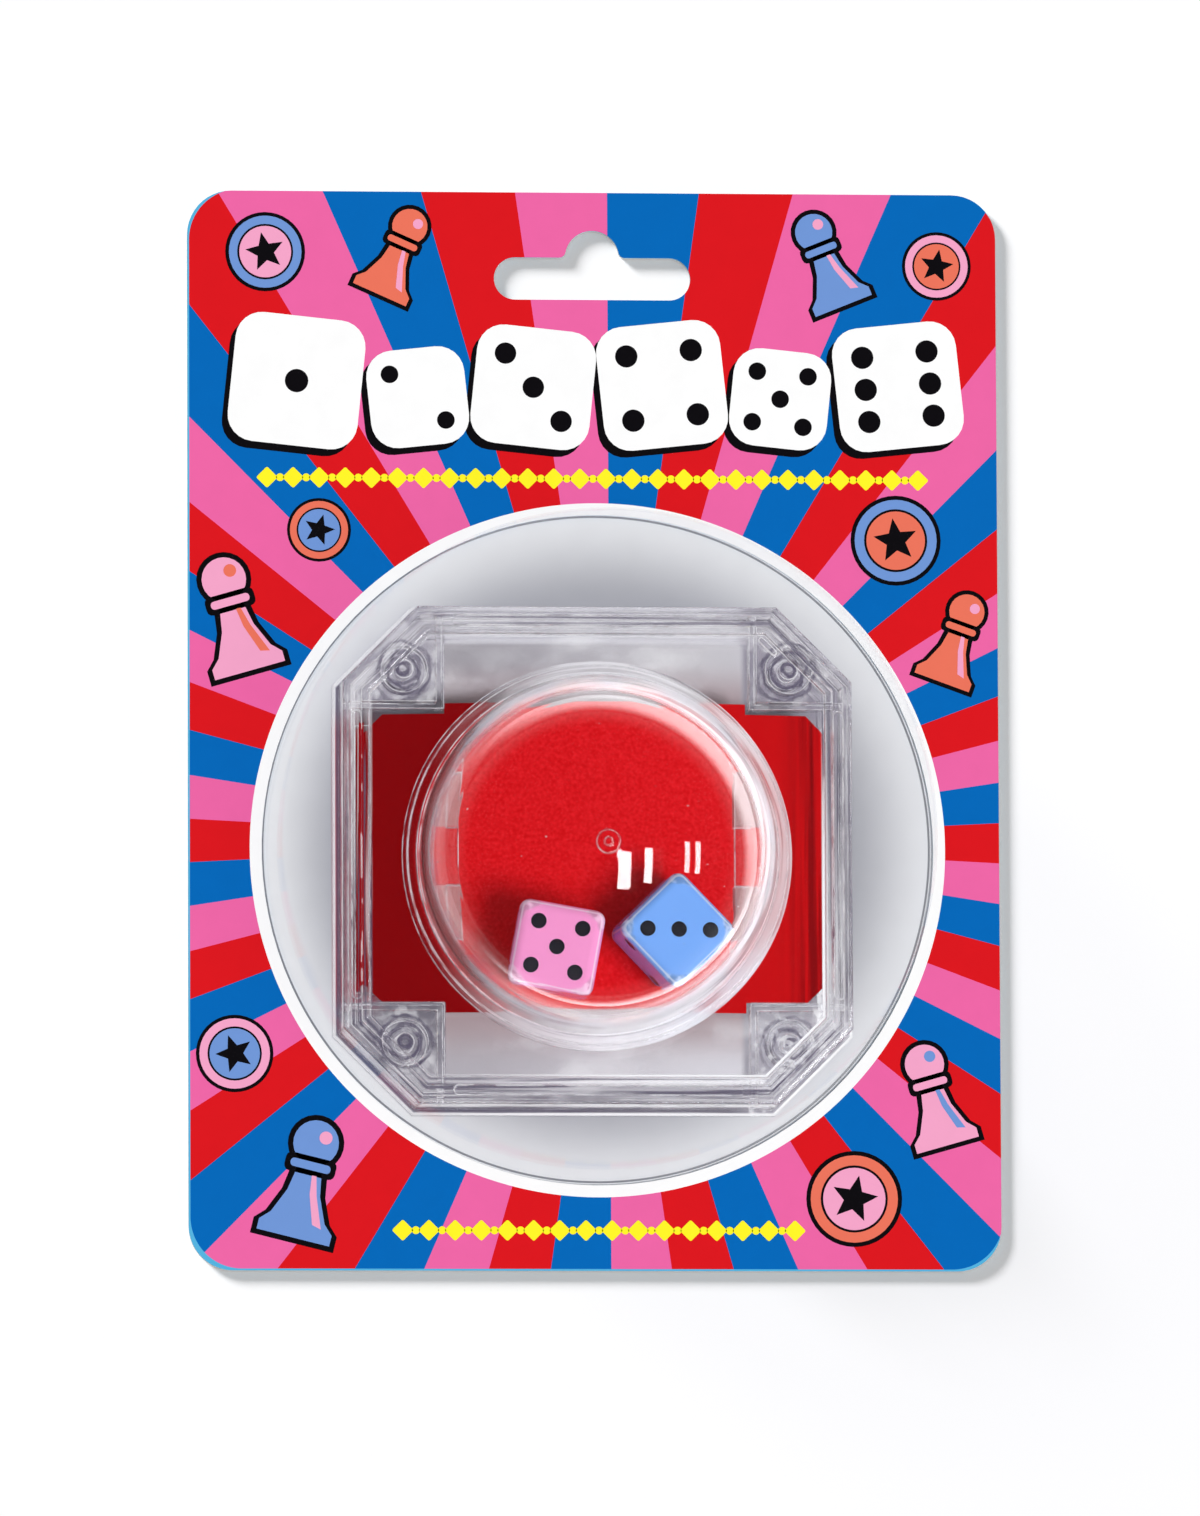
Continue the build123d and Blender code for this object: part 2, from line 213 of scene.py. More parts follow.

# ---- Dome; a rise is for each millimetre to the right, WALL_END for each towards an end ----
# The dome's feet are painted a greyish shade, more of it to the right.
FEET = (("height", 13.2, 12.8), ("radius", 31.9, 31.7), ("y", 5.4, 5.9), ("y", 16.2, 15.7))
FOOT_RISE = 0.003
FOOT_SHADE_SHARE = 0.50
WALL_FOOT = (("radius", 28.0, 30.0), ("height", 12.95, 13.1))
WALL_GRAZING = (0.26, 0.60)
WALL_GLOSS = 0.95
WALL_RISE = 0.012
WALL_MIDDLE = 0.52
WALL_END = 0.015
WALL_LEFT_FADE = ("side", -31.0, -14.0)
WALL_LEFT_GLOSS = 0.4
DOME_STREAK = (0.34, 0.56)
# The flange is painted with streaks of highlight, at its ends and to the right.
FLANGE = (("radius", 32.9, 33.5), ("height", 12.7, 12.85))
FLANGE_ENDS = (("y", 10.0, 30.0), ("side", -34.0, 4.0))
FLANGE_END_HIGHLIGHT = 0.9
FLANGE_RIGHT = ("side", 20.0, 36.0)
FLANGE_RIGHT_HIGHLIGHT = 0.7
FLANGE_MOST = 0.9
# A painted glare on the dome's lower side, toward GLARE_WAY.
GLARE_WAY = (0.26, -0.966)
GLARE = (("toward", 0.90, 0.98), ("radius", 31.0, 32.4), ("height", 15.0, 12.7))
CROWN = ("height", 24.0, 26.0)
MARKS = (0.80, 0.82)
MARK_SHARE = 0.5

# ---- Leaf and its cover sheet ----
# The sheet's wings outside the dome are painted darker, a painted shade, most on the left.
WING = ("radius", 32.6, 34.4)
WING_LEFT = ("side", 4.0, -14.0)
WING_RIGHT = ("side", 4.0, 18.0)
# Dark streaks of painted shade near the sheet's right end.
SHEET_SHADE_PLACE = ("side", 33.5, 42.5)
SHEET_SHADE_STRIPES = (0.3, 0.62)
SPECK = (0.30, 0.72)

# ---- Dice: distances from a die's centre ----
# DIE_CORNER places the corners, mixed from pale painted highlight and a greyer tone; DIE_LINE the
# pale painted highlight along the edges.
DIE_CORNER = (8.1, 8.9)
DIE_CORNER_SHARE = 0.65
DIE_LINE = (7.64, 7.46)
DIE_LINE_SHARE = 0.75
DIE_WOBBLE = 1.6
DIE_CORNER_MIX = (0.44, 0.58)

# ---- Meshes ----
CONTACT = 0.01
SMOOTH_ANGLE = 30


def srgb(red, green, blue):
    """A colour written as 0 to 255 on screen, as linear RGBA."""
    linear = []
    for value in (red, green, blue):
        share = value / 255
        linear.append(share / 12.92 if share <= 0.04045 else ((share + 0.055) / 1.055) ** 2.4)
    return (*linear, 1.0)


PINK = srgb(238, 102, 166)
RED = srgb(220, 22, 30)
BLUE = srgb(2, 104, 185)
YELLOW = srgb(255, 245, 40)
ORANGE = srgb(236, 116, 92)
SOFT_BLUE = srgb(112, 150, 214)
SOFT_PINK = srgb(244, 164, 200)
BLACK = srgb(16, 14, 18)
WHITE = srgb(253, 253, 253)
LAMP_WHITE = (1, 1, 1, 1)
FLOOR_COLOUR = (0.94, 0.94, 0.95, 1)
MARGIN = srgb(84, 178, 222)
BOARD_EDGE = srgb(150, 205, 232)
BACK_PLAIN = srgb(236, 235, 230)
# White of the painted highlights on the clear parts, also of their pale scuffs and marks and of the
# dome's gloss.
EDGE_LIGHT = srgb(254, 254, 255)
# Dark of the painted shade on the clear parts: edge shoulders, rim streaks and lines, and post
# rings.
EDGE_SHADE = srgb(96, 90, 110)
FOOT_SHADE = srgb(178, 152, 150)
RED_LINE_COLOUR = srgb(150, 14, 22)
CASE_CLEAR = (0.985, 0.98, 0.99, 1)
DOME_CLEAR = (0.995, 0.995, 1.0, 1)
BLISTER_CLEAR = (0.985, 0.985, 0.99, 1)
THROUGH = (0.99, 0.99, 0.995, 1)
SHEET_REDS = (srgb(214, 6, 14), srgb(240, 34, 42))
WING_SHADE_REDS = (srgb(142, 1, 6), srgb(206, 10, 16))
SHEET_SHADE_RED = srgb(128, 4, 10)
STEEL = (srgb(150, 152, 156), srgb(186, 188, 192))
PIP_INK = (srgb(14, 14, 20), srgb(34, 34, 44))
# Face, pale painted highlight of the edges and corners, and greyer corner tone of each die.
DIE_COLOURS = {
    "die_pink": (srgb(255, 158, 212), srgb(255, 222, 241), srgb(196, 148, 170)),
    "die_blue": (srgb(124, 177, 252), srgb(220, 234, 252), srgb(112, 142, 184)),
}

# The card's back as it shows in the window, painted with light and shade: a grey disc of
# painted shade, darker towards the popper, a painted shade under the case, two pale plates at its
# ends, and a thin circle.
DISC_RADII = (46.5, 63.5)
DISC_SHADE_GREYS = (srgb(172, 173, 179), srgb(232, 233, 235))
# Under the case: painted shade, darker towards the bottom, then patches of painted light and shade:
# darker on the right rim, lighter at the lower right, darker at the top corners, and a red painted
# reflection of the sheet to the left.
CASE_FADE = ("across", -20.0, 46.0)
CASE_SHADE_GREYS = (srgb(136, 133, 142), srgb(222, 221, 226))
CASE_LIGHT_AND_SHADE = (
    ((("side", 38.0, 42.0),), 0.5, srgb(134, 128, 136)),
    ((("side", 24.0, 32.0), ("across", -22.0, -30.0)), 1.0, srgb(196, 194, 200)),
    ((("x", 26.5, 29.5), ("across", 25.0, 28.0)), 1.0, srgb(166, 162, 172)),
    ((("side", -38.0, -42.0), ("y", 30.0, 24.0)), 0.9, srgb(172, 66, 80)),
)
CASE_EDGE = ("depth", 0.3, -0.3)
PLATE_HALF = (29.0, 42.0)
PLATE_CORNER = 2.0
PLATE_EDGE = (0.0, -1.5)
# The plates carry painted light: darker to the left and towards the top, and a red painted
# reflection of the sheet near it.
PLATE_RISE = ("across", -30.0, 30.0)
PLATE_TURN = ("side", -26.0, 26.0)
PLATE_LEFT = (srgb(200, 197, 200), srgb(184, 181, 184))
PLATE_RIGHT = (srgb(244, 243, 244), srgb(226, 225, 226))
PLATE_INNER = ("y", 39.0, 29.0)
PLATE_RED_REFLECTION = srgb(196, 176, 177)
CIRCLE_CENTRE = (0.38, -22.3)
CIRCLE_RADII = (62.4, 62.8)
CIRCLE_GREY = srgb(140, 141, 146)

# Lines of painted highlight and painted shade along the case's rim: distance inside its outline
# (below zero), half width, share at the upper left and at the lower right, and colour.
RIM_LINES = (
    (-0.25, 0.25, 0.55, 0.85, EDGE_LIGHT),
    (-0.95, 0.25, 0.50, 0.15, EDGE_SHADE),
    (-6.20, 0.45, 0.15, 0.90, EDGE_LIGHT),
)


class Recipe:
    """A node tree being written: each call adds nodes and gives the output of the last."""

    def __init__(self, tree):
        self.tree = tree
        self.tree.nodes.clear()

    def add(self, kind, inputs=(), output=0, **settings):
        """A node with these settings, and a value or a link for each named input."""
        node = self.tree.nodes.new(kind)
        for name, value in settings.items():
            setattr(node, name, value)
        for key, value in dict(inputs).items():
            self.feed(node.inputs[key], value)
        return node.outputs[output]

    def feed(self, socket, value):
        if isinstance(value, bpy.types.NodeSocket):
            self.tree.links.new(value, socket)
        else:
            socket.default_value = value

    def math(self, operation, *values, clamp=False):
        return self.add("ShaderNodeMath", enumerate(values), operation=operation, use_clamp=clamp)

    def times(self, first, *others):
        """Product of these numbers."""
        for other in others:
            first = self.math("MULTIPLY", first, other)
        return first

    def linear(self, value, slope, base):
        """value * slope + base."""
        return self.math("MULTIPLY_ADD", value, slope, base)

    def positive(self, value):
        """The value, or 0 where it is below 0."""
        return self.math("MAXIMUM", value, 0.0)

    def hypotenuse(self, x, y):
        return self.math("SQRT", self.linear(x, x, self.times(y, y)))

    def vector(self, operation, *values, output=0):
        return self.add("ShaderNodeVectorMath", enumerate(values), output, operation=operation)

    def ramp(self, value, start, full):
        """0 at start and before it, 1 at full and beyond, smooth between; full may be lower."""
        inputs = {"Value": value, "From Min": start, "From Max": full}
        return self.add("ShaderNodeMapRange", inputs, interpolation_type="SMOOTHSTEP")

    def within(self, offsets, *entries):
        """1 where each (name, start, full) entry's offset is past full, smooth from its start."""
        return self.times(*(self.ramp(offsets[name], start, full) for name, start, full in entries))

    def band(self, value, middle, half, blur):
        """1 where the value is within half of the middle, with blurred sides."""
        off = self.math("ABSOLUTE", self.math("SUBTRACT", value, middle))
        return self.ramp(off, half + blur, half - blur)

    def spread(self, value, low, high):
        """low where the value is 0, high where it is 1."""
        return self.add("ShaderNodeMapRange", {"Value": value, "To Min": low, "To Max": high})

    def mix(self, share, first, second):
        """First colour at share 0, second at share 1."""
        inputs = {"Factor": share, 6: first, 7: second}
        return self.add("ShaderNodeMix", inputs, 2, data_type="RGBA")

    def blend(self, share, first, second):
        """First number at share 0, second at share 1."""
        return self.add("ShaderNodeMix", {"Factor": share, 2: first, 3: second}, data_type="FLOAT")

    def mix_shader(self, share, first, second):
        """First shader at share 0, second at share 1."""
        return self.add("ShaderNodeMixShader", {0: share, 1: first, 2: second})

    def millimetres(self):
        """The point on the object, in millimetres of the frame."""
        point = self.add("ShaderNodeTexCoord", output="Object")
        return self.add("ShaderNodeVectorMath", {0: point, "Scale": 1 / MM}, operation="SCALE")

    def split(self, point):
        """The three parts of a vector."""
        node = self.tree.nodes.new("ShaderNodeSeparateXYZ")
        self.feed(node.inputs[0], point)
        return node.outputs

    def noise(self, point, scale, detail=3.0, roughness=0.55):
        inputs = {"Vector": point, "Scale": scale, "Detail": detail, "Roughness": roughness}
        return self.add("ShaderNodeTexNoise", inputs)

    def bump(self, height, distance, strength=1.0, normal=None):
        """Normal of a surface raised by height times distance, which is in metres."""
        inputs = {"Height": height, "Distance": distance, "Strength": strength}
        if normal is not None:
            inputs["Normal"] = normal
        return self.add("ShaderNodeBump", inputs)

    def true_normal(self):
        return self.add("ShaderNodeNewGeometry", output="True Normal")

    def facing(self):
        """0 where the surface is seen straight on, 1 at a grazing angle."""
        return self.add("ShaderNodeLayerWeight", {"Blend": 0.5}, "Facing")

    def rounded_normal(self, radius):
        """The normal as if the sharp edges were rounded, radius in millimetres."""
        return self.add("ShaderNodeBevel", {"Radius": radius * MM}, samples=6)

    def edges(self, normal):
        """Crest and shoulder: 1 along each rounded edge's middle, and 1 along its two sides."""
        agree = self.vector("DOT_PRODUCT", normal, self.true_normal(), output="Value")
        shoulder = self.times(self.ramp(agree, *SHOULDER_START), self.ramp(agree, *SHOULDER_END))
        return self.ramp(agree, *CREST), shoulder

    def plane_distance(self, point, centre):
        """Distance in the card's plane from centre."""
        offset = self.vector("SUBTRACT", point, (*centre, 0))
        flat = self.vector("MULTIPLY", offset, (1, 1, 0))
        return self.vector("LENGTH", flat, output="Value")

    def light_path(self):
        """What kind of ray it is, by name."""
        return self.tree.nodes.new("ShaderNodeLightPath").outputs

    def glow(self, strength):
        return self.add("ShaderNodeEmission", {"Color": LAMP_WHITE, "Strength": strength})

    def surface(self, **inputs):
        """A Principled shader, its inputs named with _ for a space."""
        named = {name.replace("_", " "): value for name, value in inputs.items()}
        return self.add("ShaderNodeBsdfPrincipled", named)

    def finish(self, shader, output="ShaderNodeOutputMaterial"):
        end = self.tree.nodes.new(output)
        self.tree.links.new(shader, end.inputs["Surface"])


def material(name):
    """A new material and the recipe that writes its nodes."""
    made = bpy.data.materials.new(name)
    made.use_nodes = True
    return made, Recipe(made.node_tree)


def dress(obj, made):
    """Gives obj this material in place of its own."""
    obj.data.materials.clear()
    obj.data.materials.append(made)


def add_object(name, data):
    """A new object of the scene."""
    obj = bpy.data.objects.new(name, data)
    bpy.context.scene.collection.objects.link(obj)
    return obj


def smooth(obj):
    """Shades obj smooth but for its sharper edges, without touching its vertices."""
    mesh = obj.data
    mesh.polygons.foreach_set("use_smooth", [True] * len(mesh.polygons))
    mesh.set_sharp_from_angle(angle=math.radians(SMOOTH_ANGLE))


def draw_in(obj):
    """Draws the shown surface in by a hair, so that it doesn't coincide with what it rests on."""
    shrink = obj.modifiers.new("contact", "DISPLACE")
    shrink.strength = -CONTACT * MM
    shrink.mid_level = 0


def middle(node):
    """Middle of a node in the card's plane."""
    low, high = (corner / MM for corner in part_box(node))
    return [(low[axis] + high[axis]) / 2 for axis in (0, 1)]


# ---- Frame ----
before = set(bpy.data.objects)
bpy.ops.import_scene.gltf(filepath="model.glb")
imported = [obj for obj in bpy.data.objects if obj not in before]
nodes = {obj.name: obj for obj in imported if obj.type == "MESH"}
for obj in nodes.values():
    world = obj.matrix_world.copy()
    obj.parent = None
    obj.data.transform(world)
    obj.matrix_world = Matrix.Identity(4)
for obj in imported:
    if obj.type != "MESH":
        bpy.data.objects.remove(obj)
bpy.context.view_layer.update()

card_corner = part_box("front_card")[1] / MM
card_half = (card_corner.x, card_corner.y)
card_top = card_corner.z
back_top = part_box("back_card")[1].z / MM
window = middle("blister")
popper = middle("dome")
dome_crown = Vector((*popper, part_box("dome")[1].z / MM)) * MM
card_points = np.array([v.co for v in nodes["front_card"].data.vertices])[:, :2] / MM
window_radius = float(np.linalg.norm(card_points - np.array(window), axis=1).min())


# ---- Distances ----
def popper_offsets(recipe, point):
    """Offsets from the popper's middle: side to the right and across up the card, x and y without
    their signs, radius, and height over the card's back."""
    side, across, height = recipe.split(recipe.vector("SUBTRACT", point, (*popper, 0)))
    return {
        "side": side,
        "across": across,
        "x": recipe.math("ABSOLUTE", side),
        "y": recipe.math("ABSOLUTE", across),
        "height": height,
        "radius": recipe.plane_distance(point, popper),
    }


def box_distance(recipe, point, centre, half, corner):
    """Distance in the card's plane outside a rounded rectangle, below zero inside it."""
    x, y, _ = recipe.split(recipe.vector("SUBTRACT", point, (*centre, 0)))
    x = recipe.math("SUBTRACT", recipe.math("ABSOLUTE", x), half[0] - corner)
    y = recipe.math("SUBTRACT", recipe.math("ABSOLUTE", y), half[1] - corner)
    inside = recipe.math("MINIMUM", recipe.math("MAXIMUM", x, y), 0.0)
    outside = recipe.hypotenuse(recipe.positive(x), recipe.positive(y))
    return recipe.math("SUBTRACT", recipe.math("ADD", outside, inside), corner)


def case_distance(recipe, offsets):
    """Distance outside the case's octagon, below zero inside it."""
    x, y = offsets["x"], offsets["y"]
    over_x = recipe.math("SUBTRACT", x, CASE_HALF[0])
    over_y = recipe.math("SUBTRACT", y, CASE_HALF[1])
    slant = recipe.math("SUBTRACT", recipe.math("ADD", x, y), CASE_CHAMFER)
    straight = recipe.math("MAXIMUM", over_x, over_y)
    return recipe.math("MAXIMUM", straight, recipe.times(slant, math.sqrt(0.5)))


# ---- Card ----
def printed_surface(recipe, colour, point):
    """Semi-gloss ink on coated board: fine grain, faint mottling."""
    grain = recipe.noise(point, 9.0, detail=4.0)
    mottle = recipe.spread(recipe.noise(point, 0.22, detail=2.0), 0.97, 1.03)
    return recipe.surface(
        Base_Color=recipe.add("ShaderNodeHueSaturation", {"Value": mottle, "Color": colour}),
        Roughness=recipe.spread(grain, 0.38, 0.56),
        Specular_IOR_Level=0.08,
        Normal=recipe.bump(grain, 0.00002, 0.35),
    )


def ink_material(name, colour):
    made, recipe = material(name)
    recipe.finish(printed_surface(recipe, colour, recipe.millimetres()))
    return made


def card_front_material():
    """Sunburst of three colours from a point below the middle, a white ring round the window, a
    light blue line along the cut, and pale board edges."""
    made, recipe = material("card_print")
    point = recipe.millimetres()
    across, up, _ = recipe.split(recipe.vector("SUBTRACT", point, (*BURST_CENTRE, 0)))
    turn = recipe.math("ARCTAN2", recipe.math("DIVIDE", across, BURST_STRETCH), up)
    wave = recipe.math("SINE", recipe.times(turn, BURST_WAVES))
    turn = recipe.math("SUBTRACT", turn, recipe.times(wave, BURST_SKEW))
    place = recipe.math("FRACT", recipe.times(turn, BURST_RAYS / 3 / (2 * math.pi)))
    colour = recipe.mix(recipe.math("GREATER_THAN", place, 1 / 3), BLUE, RED)
    colour = recipe.mix(recipe.math("GREATER_THAN", place, 2 / 3), colour, PINK)
    radius = recipe.plane_distance(point, window)
    ring = recipe.math("LESS_THAN", radius, window_radius + RING_WIDTH)
    colour = recipe.mix(ring, colour, WHITE)
    beyond = box_distance(recipe, point, PRINT_SHIFT, card_half, PRINT_CORNER)
    colour = recipe.mix(recipe.math("GREATER_THAN", beyond, 0.0), colour, MARGIN)
    on_face = recipe.math("GREATER_THAN", recipe.split(point)[2], card_top - FACE_DEPTH)
    colour = recipe.mix(on_face, BOARD_EDGE, colour)
    recipe.finish(printed_surface(recipe, colour, point))
    return made


def card_back_material():
    """Plain coated board, with painted shade and light and a thin circle where it shows in the
    window.
    """
    made, recipe = material("card_back")
    point = recipe.millimetres()
    offsets = popper_offsets(recipe, point)
    offsets["depth"] = case_distance(recipe, offsets)
    # Grey disc of painted shade, darker towards the popper.
    disc = recipe.mix(recipe.ramp(recipe.plane_distance(point, window), *DISC_RADII), *DISC_SHADE_GREYS)

    # Painted shade and light under the case.
    shade = recipe.mix(recipe.within(offsets, CASE_FADE), *CASE_SHADE_GREYS)
    for entries, share, colour in CASE_LIGHT_AND_SHADE:
        shade = recipe.mix(recipe.times(recipe.within(offsets, *entries), share), shade, colour)
    colour = recipe.mix(recipe.within(offsets, CASE_EDGE), disc, shade)

    # Plates with painted light, and a red painted reflection near the sheet.
    rise = recipe.within(offsets, PLATE_RISE)
    left, right = recipe.mix(rise, *PLATE_LEFT), recipe.mix(rise, *PLATE_RIGHT)
    shade = recipe.mix(recipe.within(offsets, PLATE_TURN), left, right)
    shade = recipe.mix(recipe.within(offsets, PLATE_INNER), shade, PLATE_RED_REFLECTION)
    beyond = box_distance(recipe, point, popper, PLATE_HALF, PLATE_CORNER)
    colour = recipe.mix(recipe.ramp(beyond, *PLATE_EDGE), colour, shade)

    radius = recipe.plane_distance(point, CIRCLE_CENTRE)
    for reach, outer in zip(CIRCLE_RADII, (CIRCLE_GREY, WHITE)):
        colour = recipe.mix(recipe.math("GREATER_THAN", radius, reach), colour, outer)
    on_face = recipe.math("GREATER_THAN", offsets["height"], back_top - FACE_DEPTH)
    recipe.finish(printed_surface(recipe, recipe.mix(on_face, BACK_PLAIN, colour), point))
    return made


# ---- Clear plastic; a layer is a pair: how much paint, of light and shade and of scuffs, shows over the plastic, and its colour ----
def clear_shader(recipe, colour, normal, layer, gloss=None):
    """Solid clear plastic, its layer painted over it as a diffuse coat (painted highlights and
    shade, and pale scuffs and marks), and softly glossy by gloss. Light for what lies behind it
    passes straight through."""
    painted_share, painted_layer_colour = layer
    shader = recipe.surface(
        Base_Color=colour,
        Roughness=CLEAR_ROUGHNESS,
        IOR=CLEAR_IOR,
        Transmission_Weight=1.0,
        Normal=normal,
    )
    if gloss is not None:
        inputs = {"Color": EDGE_LIGHT, "Roughness": SOFT_ROUGHNESS, "Normal": normal}
        shader = recipe.mix_shader(gloss, shader, recipe.add("ShaderNodeBsdfGlossy", inputs))
    painted_layer = recipe.add("ShaderNodeBsdfDiffuse", {"Color": painted_layer_colour})
    shader = recipe.mix_shader(painted_share, shader, painted_layer)
    through = recipe.add("ShaderNodeBsdfTransparent", {"Color": THROUGH})
    path = recipe.light_path()
    shader = recipe.mix_shader(path["Is Diffuse Ray"], shader, through)
    return recipe.mix_shader(path["Is Shadow Ray"], shader, through)


def overlay(recipe, layer, amount, colour):
    """The stronger of two layers, place by place."""
    stronger = recipe.math("GREATER_THAN", amount, layer[0])
    return recipe.math("MAXIMUM", layer[0], amount), recipe.mix(stronger, layer[1], colour)


def edge_layer(recipe, point, rounded_edge, least=EDGE_LEAST):
    """Layer of painted light on the edges: a painted highlight on the crest, no fainter than least,
    between sides of painted shade.
    """
    crest, shoulder = recipe.edges(rounded_edge)
    glint = recipe.ramp(recipe.noise(point, 0.18, detail=2.0), *GLINT)
    bright = recipe.times(crest, recipe.blend(glint, least, EDGE_BRIGHT))
    sides = (recipe.times(shoulder, EDGE_DARK), EDGE_SHADE)
    return overlay(recipe, sides, bright, EDGE_LIGHT)


def add_rim(recipe, layer, offsets, lit):
    """Adds the rim's painted light to a layer: fine streaks of painted highlight and shade along
    the outline, a few lines of painted highlight and shade, and the red line to the left, a painted
    reflection of the sheet's edge in the rim. lit is 1 at the lower right."""
    depth = offsets["depth"]
    along = {"X": depth, "Y": offsets["side"], "Z": offsets["across"]}
    along = recipe.vector("MULTIPLY", recipe.add("ShaderNodeCombineXYZ", along), STREAK_DENSITY)
    streak = recipe.noise(along, 1.0, detail=2.0)
    in_rim = recipe.within(offsets, *IN_RIM)
    # Painted highlight streaks, then painted shade streaks, along the rim.
    light = recipe.times(in_rim, recipe.ramp(streak, *HIGHLIGHT_STREAK), RIM_HIGHLIGHT)
    layer = overlay(recipe, layer, light, EDGE_LIGHT)
    top = recipe.within(offsets, RIM_TOP)
    dark_share = recipe.linear(top, RIM_SHADE_TOP - RIM_SHADE, RIM_SHADE)
    dark = recipe.times(in_rim, recipe.ramp(streak, *SHADE_STREAK), dark_share)
    layer = overlay(recipe, layer, dark, EDGE_SHADE)
    flat = recipe.within(offsets, FLAT)
    # Lines of painted highlight and painted shade.
    for place, half, share, lit_share, colour in RIM_LINES:
        line = recipe.times(flat, recipe.band(depth, place, half, LINE_BLUR))
        line = recipe.times(line, recipe.linear(lit, lit_share - share, share))
        layer = overlay(recipe, layer, line, colour)
    # Red line: a painted reflection of the sheet's edge.
    line = recipe.times(recipe.band(depth, *RED_LINE), recipe.within(offsets, *RED_LINE_ENDS))
    return overlay(recipe, layer, recipe.times(line, RED_LINE_SHARE), RED_LINE_COLOUR)


def add_corners(recipe, layer, point, offsets, lit):
    """Adds the painted light of the corner boxes to a layer: dark wavy rings of painted shade round
    the posts, and pale blotches of painted highlight, stronger at the lower right."""
    corner = recipe.within(offsets, *IN_CORNER)
    from_x, from_y = (recipe.math("SUBTRACT", offsets[a], p) for a, p in zip("xy", POST_PLACE))
    from_post = recipe.hypotenuse(from_x, from_y)
    swirl = recipe.noise(point, 0.30, detail=3.0)
    phase = recipe.linear(swirl, RING_WOBBLE, recipe.times(from_post, RING_WAVES))
    rings = recipe.ramp(recipe.math("SINE", phase), *RING_CREST)
    ring_share = recipe.linear(lit, RING_SHARE_LIT - RING_SHARE, RING_SHARE)
    rings = recipe.times(rings, recipe.ramp(from_post, *RING_REACH), ring_share)
    # Painted shade rings, then painted highlight blotches.
    layer = overlay(recipe, layer, recipe.times(corner, rings), EDGE_SHADE)
    blotch = recipe.ramp(recipe.noise(point, 0.34, detail=2.0), *CORNER_HIGHLIGHT)
    far = recipe.within(offsets, FAR_LOWER_RIGHT)
    blotch_share = recipe.linear(far, CORNER_HIGHLIGHT_SHARE_LIT - CORNER_HIGHLIGHT_SHARE, CORNER_HIGHLIGHT_SHARE)
    return overlay(recipe, layer, recipe.times(corner, blotch, blotch_share), EDGE_LIGHT)


def case_material():
    """Clear moulded polystyrene with painted light: highlights and shade along the edges, painted
    highlight and shade streaks and lines on the rim, painted shade rings and painted highlights in
    the corner boxes, and scuffs at the top and the bottom."""
    made, recipe = material("case_clear")
    point = recipe.millimetres()
    rounded_edge = recipe.rounded_normal(EDGE_ROUND)
    offsets = popper_offsets(recipe, point)
    offsets["depth"] = case_distance(recipe, offsets)
    offsets["flat"] = recipe.math("ABSOLUTE", recipe.split(recipe.true_normal())[2])
    offsets["diagonal"] = recipe.math("SUBTRACT", offsets["side"], offsets["across"])
    # lit weighs the painted light and shade, which differ at the lower right.
    lit = recipe.within(offsets, LOWER_RIGHT)

    outline = recipe.within(offsets, OUTLINE)
    least = recipe.linear(outline, OUTLINE_LEAST - CASE_LEAST, CASE_LEAST)
    layer = edge_layer(recipe, point, rounded_edge, least)
    layer = add_rim(recipe, layer, offsets, lit)
    layer = add_corners(recipe, layer, point, offsets, lit)
    wide = recipe.vector("MULTIPLY", point, (0.6, 1.0, 1.0))
    scuff = recipe.ramp(recipe.noise(wide, 0.10, detail=4.0), *SCUFF)
    scuff = recipe.times(scuff, recipe.within(offsets, SCUFF_FROM), SCUFF_SHARE)
    layer = overlay(recipe, layer, scuff, EDGE_LIGHT)

    normal = recipe.bump(recipe.noise(point, 0.12, detail=1.5), 0.00006, normal=rounded_edge)
    recipe.finish(clear_shader(recipe, CASE_CLEAR, normal, layer))
    return made


